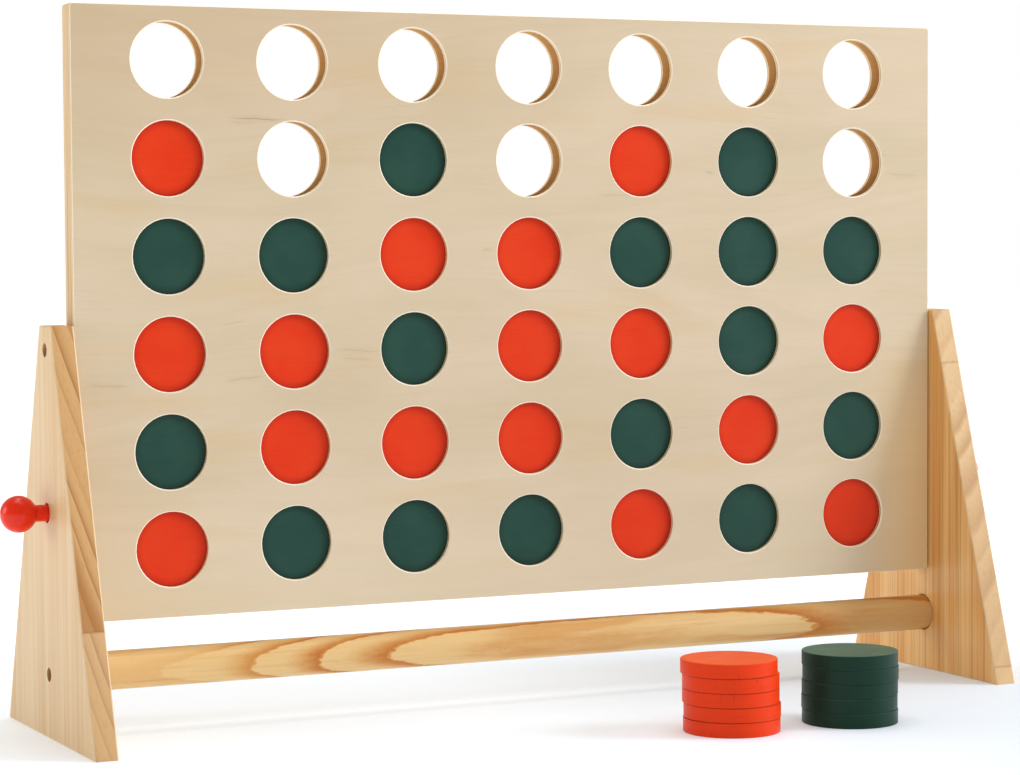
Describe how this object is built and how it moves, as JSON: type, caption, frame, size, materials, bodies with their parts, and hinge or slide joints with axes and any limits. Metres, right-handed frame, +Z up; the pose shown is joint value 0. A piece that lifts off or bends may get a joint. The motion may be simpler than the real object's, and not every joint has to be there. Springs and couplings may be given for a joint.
{
  "type": "giant four in a row game",
  "caption": "Large wooden four in a row: a slotted board of round windows that tips between two tapered legs, with lock-pin knobs, a crossbar and painted discs.",
  "frame": {"origin": "on the floor under the middle of the whole game, legs and spare-disc stacks together", "axes": "+X along the board to the player's right, +Y from the player's side to the back, +Z up"},
  "size_m": [0.937, 0.3854, 0.594],
  "materials": {
    "birch_plywood": "satin clear lacquer",
    "core_strip": "raw sawn",
    "pine_leg": "satin clear lacquer",
    "pine_bar": "satin clear lacquer",
    "disc_red": "satin paint",
    "disc_green": "satin paint",
    "knob_red": "gloss paint",
    "screw_steel": "bronzed"
  },
  "bodies": {
    "stand": {"left_leg": "pine_leg", "right_leg": "pine_leg", "crossbar": "pine_bar", "crossbar_screws": "screw_steel"},
    "board": {"front_panel": "birch_plywood", "rear_panel": "birch_plywood", "left_side_strip": "core_strip", "right_side_strip": "core_strip", "bottom_rail": "core_strip", "column_divider_1": "core_strip", "column_divider_2": "core_strip", "column_divider_3": "core_strip", "column_divider_4": "core_strip", "column_divider_5": "core_strip", "column_divider_6": "core_strip", "pivot_bolts": "screw_steel"},
    "left_lock_pin": {"left_lock_pin": "knob_red"},
    "right_lock_pin": {"right_lock_pin": "knob_red"},
    "red_disc_c1_r1": {"red_disc_c1_r1": "disc_red"},
    "green_disc_c1_r2": {"green_disc_c1_r2": "disc_green"},
    "red_disc_c1_r3": {"red_disc_c1_r3": "disc_red"},
    "green_disc_c1_r4": {"green_disc_c1_r4": "disc_green"},
    "red_disc_c1_r5": {"red_disc_c1_r5": "disc_red"},
    "green_disc_c2_r1": {"green_disc_c2_r1": "disc_green"},
    "red_disc_c2_r2": {"red_disc_c2_r2": "disc_red"},
    "red_disc_c2_r3": {"red_disc_c2_r3": "disc_red"},
    "green_disc_c2_r4": {"green_disc_c2_r4": "disc_green"},
    "green_disc_c3_r1": {"green_disc_c3_r1": "disc_green"},
    "red_disc_c3_r2": {"red_disc_c3_r2": "disc_red"},
    "green_disc_c3_r3": {"green_disc_c3_r3": "disc_green"},
    "red_disc_c3_r4": {"red_disc_c3_r4": "disc_red"},
    "green_disc_c3_r5": {"green_disc_c3_r5": "disc_green"},
    "green_disc_c4_r1": {"green_disc_c4_r1": "disc_green"},
    "red_disc_c4_r2": {"red_disc_c4_r2": "disc_red"},
    "red_disc_c4_r3": {"red_disc_c4_r3": "disc_red"},
    "red_disc_c4_r4": {"red_disc_c4_r4": "disc_red"},
    "red_disc_c5_r1": {"red_disc_c5_r1": "disc_red"},
    "green_disc_c5_r2": {"green_disc_c5_r2": "disc_green"},
    "red_disc_c5_r3": {"red_disc_c5_r3": "disc_red"},
    "green_disc_c5_r4": {"green_disc_c5_r4": "disc_green"},
    "red_disc_c5_r5": {"red_disc_c5_r5": "disc_red"},
    "green_disc_c6_r1": {"green_disc_c6_r1": "disc_green"},
    "red_disc_c6_r2": {"red_disc_c6_r2": "disc_red"},
    "green_disc_c6_r3": {"green_disc_c6_r3": "disc_green"},
    "green_disc_c6_r4": {"green_disc_c6_r4": "disc_green"},
    "green_disc_c6_r5": {"green_disc_c6_r5": "disc_green"},
    "red_disc_c7_r1": {"red_disc_c7_r1": "disc_red"},
    "green_disc_c7_r2": {"green_disc_c7_r2": "disc_green"},
    "red_disc_c7_r3": {"red_disc_c7_r3": "disc_red"},
    "green_disc_c7_r4": {"green_disc_c7_r4": "disc_green"},
    "red_stack_disc_1": {"red_stack_disc_1": "disc_red"},
    "red_stack_disc_2": {"red_stack_disc_2": "disc_red"},
    "red_stack_disc_3": {"red_stack_disc_3": "disc_red"},
    "red_stack_disc_4": {"red_stack_disc_4": "disc_red"},
    "red_stack_disc_5": {"red_stack_disc_5": "disc_red"},
    "green_stack_disc_1": {"green_stack_disc_1": "disc_green"},
    "green_stack_disc_2": {"green_stack_disc_2": "disc_green"},
    "green_stack_disc_3": {"green_stack_disc_3": "disc_green"},
    "green_stack_disc_4": {"green_stack_disc_4": "disc_green"},
    "green_stack_disc_5": {"green_stack_disc_5": "disc_green"}
  },
  "joints": [
    {"name": "board_pivot", "type": "hinge", "parent": "stand", "child": "board", "pos_m": [0, 0.07268, 0.3155], "axis": [1, 0, 0], "range_deg": [-172, 172]},
    {"name": "left_lock_pin_slide", "type": "slide", "parent": "stand", "child": "left_lock_pin", "axis": [-1, 0, 0], "range_m": [-0.008, 0.02]},
    {"name": "right_lock_pin_slide", "type": "slide", "parent": "stand", "child": "right_lock_pin", "axis": [1, 0, 0], "range_m": [-0.008, 0.02]},
    {"name": "red_disc_c1_r1_slide", "type": "slide", "parent": "board", "child": "red_disc_c1_r1", "axis": [0, 0, 1], "range_m": [0, 0.4889]},
    {"name": "green_disc_c1_r2_slide", "type": "slide", "parent": "red_disc_c1_r1", "child": "green_disc_c1_r2", "axis": [0, 0, 1], "range_m": [0, 0.4089]},
    {"name": "red_disc_c1_r3_slide", "type": "slide", "parent": "green_disc_c1_r2", "child": "red_disc_c1_r3", "axis": [0, 0, 1], "range_m": [0, 0.3289]},
    {"name": "green_disc_c1_r4_slide", "type": "slide", "parent": "red_disc_c1_r3", "child": "green_disc_c1_r4", "axis": [0, 0, 1], "range_m": [0, 0.2489]},
    {"name": "red_disc_c1_r5_slide", "type": "slide", "parent": "green_disc_c1_r4", "child": "red_disc_c1_r5", "axis": [0, 0, 1], "range_m": [0, 0.1689]},
    {"name": "green_disc_c2_r1_slide", "type": "slide", "parent": "board", "child": "green_disc_c2_r1", "axis": [0, 0, 1], "range_m": [0, 0.4889]},
    {"name": "red_disc_c2_r2_slide", "type": "slide", "parent": "green_disc_c2_r1", "child": "red_disc_c2_r2", "axis": [0, 0, 1], "range_m": [0, 0.4089]},
    {"name": "red_disc_c2_r3_slide", "type": "slide", "parent": "red_disc_c2_r2", "child": "red_disc_c2_r3", "axis": [0, 0, 1], "range_m": [0, 0.3289]},
    {"name": "green_disc_c2_r4_slide", "type": "slide", "parent": "red_disc_c2_r3", "child": "green_disc_c2_r4", "axis": [0, 0, 1], "range_m": [0, 0.2489]},
    {"name": "green_disc_c3_r1_slide", "type": "slide", "parent": "board", "child": "green_disc_c3_r1", "axis": [0, 0, 1], "range_m": [0, 0.4889]},
    {"name": "red_disc_c3_r2_slide", "type": "slide", "parent": "green_disc_c3_r1", "child": "red_disc_c3_r2", "axis": [0, 0, 1], "range_m": [0, 0.4089]},
    {"name": "green_disc_c3_r3_slide", "type": "slide", "parent": "red_disc_c3_r2", "child": "green_disc_c3_r3", "axis": [0, 0, 1], "range_m": [0, 0.3289]},
    {"name": "red_disc_c3_r4_slide", "type": "slide", "parent": "green_disc_c3_r3", "child": "red_disc_c3_r4", "axis": [0, 0, 1], "range_m": [0, 0.2489]},
    {"name": "green_disc_c3_r5_slide", "type": "slide", "parent": "red_disc_c3_r4", "child": "green_disc_c3_r5", "axis": [0, 0, 1], "range_m": [0, 0.1689]},
    {"name": "green_disc_c4_r1_slide", "type": "slide", "parent": "board", "child": "green_disc_c4_r1", "axis": [0, 0, 1], "range_m": [0, 0.4889]},
    {"name": "red_disc_c4_r2_slide", "type": "slide", "parent": "green_disc_c4_r1", "child": "red_disc_c4_r2", "axis": [0, 0, 1], "range_m": [0, 0.4089]},
    {"name": "red_disc_c4_r3_slide", "type": "slide", "parent": "red_disc_c4_r2", "child": "red_disc_c4_r3", "axis": [0, 0, 1], "range_m": [0, 0.3289]},
    {"name": "red_disc_c4_r4_slide", "type": "slide", "parent": "red_disc_c4_r3", "child": "red_disc_c4_r4", "axis": [0, 0, 1], "range_m": [0, 0.2489]},
    {"name": "red_disc_c5_r1_slide", "type": "slide", "parent": "board", "child": "red_disc_c5_r1", "axis": [0, 0, 1], "range_m": [0, 0.4889]},
    {"name": "green_disc_c5_r2_slide", "type": "slide", "parent": "red_disc_c5_r1", "child": "green_disc_c5_r2", "axis": [0, 0, 1], "range_m": [0, 0.4089]},
    {"name": "red_disc_c5_r3_slide", "type": "slide", "parent": "green_disc_c5_r2", "child": "red_disc_c5_r3", "axis": [0, 0, 1], "range_m": [0, 0.3289]},
    {"name": "green_disc_c5_r4_slide", "type": "slide", "parent": "red_disc_c5_r3", "child": "green_disc_c5_r4", "axis": [0, 0, 1], "range_m": [0, 0.2489]},
    {"name": "red_disc_c5_r5_slide", "type": "slide", "parent": "green_disc_c5_r4", "child": "red_disc_c5_r5", "axis": [0, 0, 1], "range_m": [0, 0.1689]},
    {"name": "green_disc_c6_r1_slide", "type": "slide", "parent": "board", "child": "green_disc_c6_r1", "axis": [0, 0, 1], "range_m": [0, 0.4889]},
    {"name": "red_disc_c6_r2_slide", "type": "slide", "parent": "green_disc_c6_r1", "child": "red_disc_c6_r2", "axis": [0, 0, 1], "range_m": [0, 0.4089]},
    {"name": "green_disc_c6_r3_slide", "type": "slide", "parent": "red_disc_c6_r2", "child": "green_disc_c6_r3", "axis": [0, 0, 1], "range_m": [0, 0.3289]},
    {"name": "green_disc_c6_r4_slide", "type": "slide", "parent": "green_disc_c6_r3", "child": "green_disc_c6_r4", "axis": [0, 0, 1], "range_m": [0, 0.2489]},
    {"name": "green_disc_c6_r5_slide", "type": "slide", "parent": "green_disc_c6_r4", "child": "green_disc_c6_r5", "axis": [0, 0, 1], "range_m": [0, 0.1689]},
    {"name": "red_disc_c7_r1_slide", "type": "slide", "parent": "board", "child": "red_disc_c7_r1", "axis": [0, 0, 1], "range_m": [0, 0.4889]},
    {"name": "green_disc_c7_r2_slide", "type": "slide", "parent": "red_disc_c7_r1", "child": "green_disc_c7_r2", "axis": [0, 0, 1], "range_m": [0, 0.4089]},
    {"name": "red_disc_c7_r3_slide", "type": "slide", "parent": "green_disc_c7_r2", "child": "red_disc_c7_r3", "axis": [0, 0, 1], "range_m": [0, 0.3289]},
    {"name": "green_disc_c7_r4_slide", "type": "slide", "parent": "red_disc_c7_r3", "child": "green_disc_c7_r4", "axis": [0, 0, 1], "range_m": [0, 0.2489]},
    {"name": "red_stack_disc_1_lift", "type": "slide", "parent": "stand", "child": "red_stack_disc_1", "axis": [0, 0, 1], "range_m": [0, 0.1]},
    {"name": "red_stack_disc_2_lift", "type": "slide", "parent": "red_stack_disc_1", "child": "red_stack_disc_2", "axis": [0, 0, 1], "range_m": [0, 0.1]},
    {"name": "red_stack_disc_3_lift", "type": "slide", "parent": "red_stack_disc_2", "child": "red_stack_disc_3", "axis": [0, 0, 1], "range_m": [0, 0.1]},
    {"name": "red_stack_disc_4_lift", "type": "slide", "parent": "red_stack_disc_3", "child": "red_stack_disc_4", "axis": [0, 0, 1], "range_m": [0, 0.1]},
    {"name": "red_stack_disc_5_lift", "type": "slide", "parent": "red_stack_disc_4", "child": "red_stack_disc_5", "axis": [0, 0, 1], "range_m": [0, 0.1]},
    {"name": "green_stack_disc_1_lift", "type": "slide", "parent": "stand", "child": "green_stack_disc_1", "axis": [0, 0, 1], "range_m": [0, 0.1]},
    {"name": "green_stack_disc_2_lift", "type": "slide", "parent": "green_stack_disc_1", "child": "green_stack_disc_2", "axis": [0, 0, 1], "range_m": [0, 0.1]},
    {"name": "green_stack_disc_3_lift", "type": "slide", "parent": "green_stack_disc_2", "child": "green_stack_disc_3", "axis": [0, 0, 1], "range_m": [0, 0.1]},
    {"name": "green_stack_disc_4_lift", "type": "slide", "parent": "green_stack_disc_3", "child": "green_stack_disc_4", "axis": [0, 0, 1], "range_m": [0, 0.1]},
    {"name": "green_stack_disc_5_lift", "type": "slide", "parent": "green_stack_disc_4", "child": "green_stack_disc_5", "axis": [0, 0, 1], "range_m": [0, 0.1]}
  ]
}
